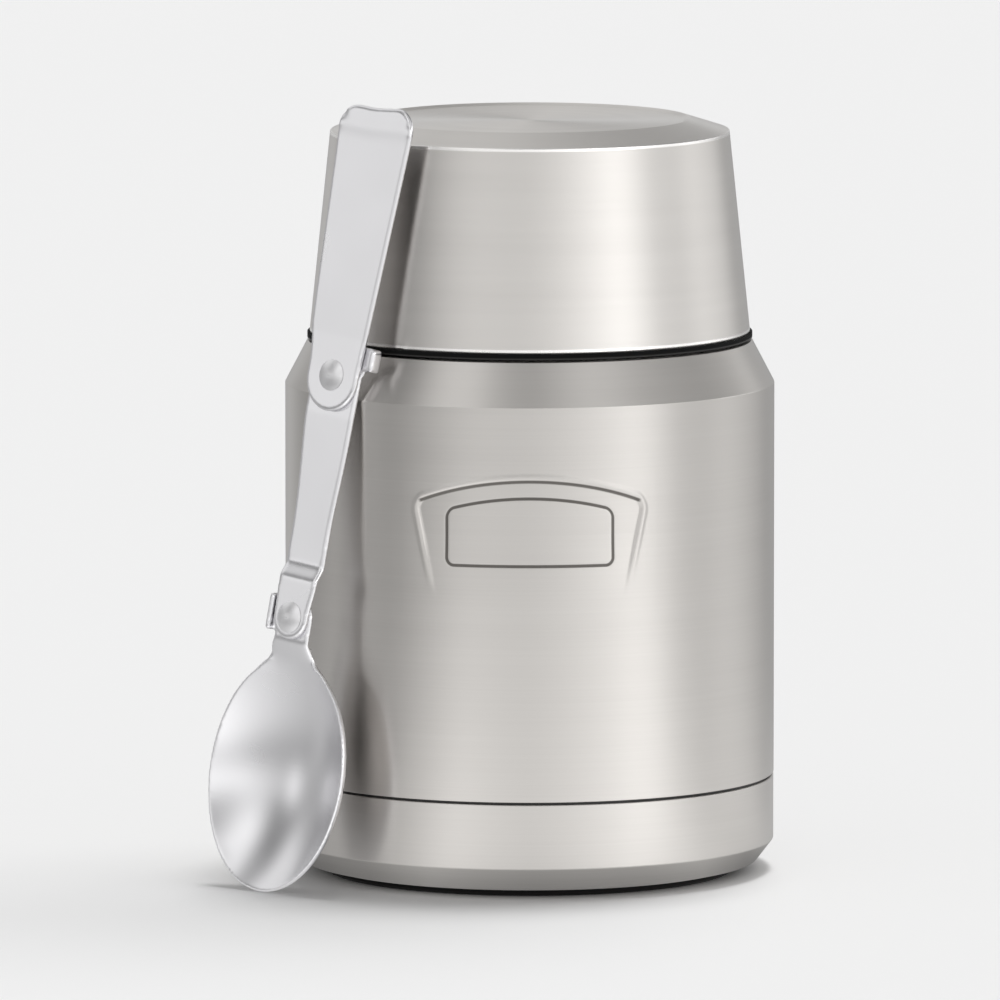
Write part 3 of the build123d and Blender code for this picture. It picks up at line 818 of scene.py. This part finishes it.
world = bpy.data.worlds.new("studio")
bpy.context.scene.world = world
world.use_nodes = True
world.node_tree.nodes.clear()
sky = Wire(world.node_tree)
aim_x, aim_y, aim_z = sky.add("ShaderNodeTexCoord", outlet=0).parts()
turn_share = bearing(aim_x, aim_y)
skyline_level = panorama(turn_share, *ground_stops)
low_level = panorama(
    turn_share, (-180, 0.76), (-166, 0.6), (-150, 0.5), (-130, 0.34), (-114, 0.4),
    (-98, 0.42), (-90, 0.8), (-82, 1.68), (-74, 0.8), (-64, 0.75), (-45, 1.02),
    (-30, 1.28), (0, 1.45), (15, 1.64), (28, 2.1), (38, 2.6), (49, 3.25), (58, 3.05),
    (74, 1.85), (90, 1.6), (105, 1.95), (130, 1.55), (146, 0.6), (160, 0.5), (180, 0.76),
)
high_level = panorama(
    turn_share, (-180, 0.7), (-118, 0.85), (-105, 0.95), (-97, 0.65), (-78, 0.42),
    (-66, 0.5), (-57, 0.88), (-46, 1.12), (-34, 0.84), (-22, 0.5), (-10, 0.4),
    (2, 0.36), (14, 0.48), (24, 0.58), (36, 0.8), (48, 0.76), (62, 0.45), (92, 0.42),
    (110, 0.26), (136, 0.16), (160, 0.45), (180, 0.7),
)
low_share = aim_z.ramp((0.02, 0), (0.09, 1))
high_share = aim_z.ramp((0.2, 0), (0.42, 1))
gap = aim_z.ramp((0.22, 0), (0.3, 1), (0.42, 1), (0.48, 0))
post = aim_z.ramp((0.21, 0), (0.29, 1), (0.62, 1), (0.7, 0.5)) * turn_share.ramp(
    (0.225, 0), (0.255, 1), (0.3, 1), (0.335, 0)
)
strip = aim_z.ramp((0.42, 0), (0.5, 1), (0.58, 1), (0.64, 0)) * turn_share.ramp(
    (0.32, 0), (0.35, 1), (0.43, 1), (0.48, 0)
)
edge_light = aim_z.ramp((0.6, 0), (0.63, 1), (0.68, 1), (0.71, 0)) * turn_share.ramp(
    (0.38, 0), (0.42, 1), (0.56, 1), (0.62, 0)
)
panels = skyline_level * (1 - low_share) + low_level * low_share * (1 - gap * 0.5)
panels = panels * (1 - high_share) + high_level * high_share
panels = panels * (1 - post * 0.55) + strip * 0.2 + edge_light * 0.7
seen, mirrored = ray_kinds(sky)
backdrop, fill = 0.888, 0.365
level = seen * backdrop + mirrored * panels + (1 - sky.math("MAXIMUM", seen, mirrored)) * fill
glow = sky.add("ShaderNodeBackground", Color=(1, 1, 1, 1), Strength=level)
sky.add("ShaderNodeOutputWorld", Surface=glow)


def sun(name, azimuth, elevation, strength, softness):
    """A lamp far off, azimuth degrees to the right of the front. Metal doesn't
    mirror it."""
    data = bpy.data.lights.new(name, "SUN")
    data.energy = strength
    data.angle = radians(softness)
    lamp = bpy.data.objects.new(name, data)
    bpy.context.scene.collection.objects.link(lamp)
    turn, climb = radians(azimuth), radians(elevation)
    towards = Vector((sin(turn) * cos(climb), -cos(turn) * cos(climb), sin(climb)))
    lamp.rotation_euler = towards.to_track_quat("Z", "Y").to_euler()
    lamp.visible_glossy = False


sun("key", 146, 80, 1.36, 16)
sun("rear", 158, 56, 0.46, 30)
sun("side", 122, 40, 0.46, 36)

camera_data = bpy.data.cameras.new("view")
camera_data.lens = 569.23
camera_data.sensor_width = 36
camera_data.clip_end = 100
camera = bpy.data.objects.new("view", camera_data)
bpy.context.scene.collection.objects.link(camera)
camera.location = (0, -3.02, 0.432)
camera.rotation_euler = (radians(90 - 6.812), 0, radians(0.1087))
bpy.context.scene.camera = camera
bpy.context.scene.view_settings.view_transform = "Standard"
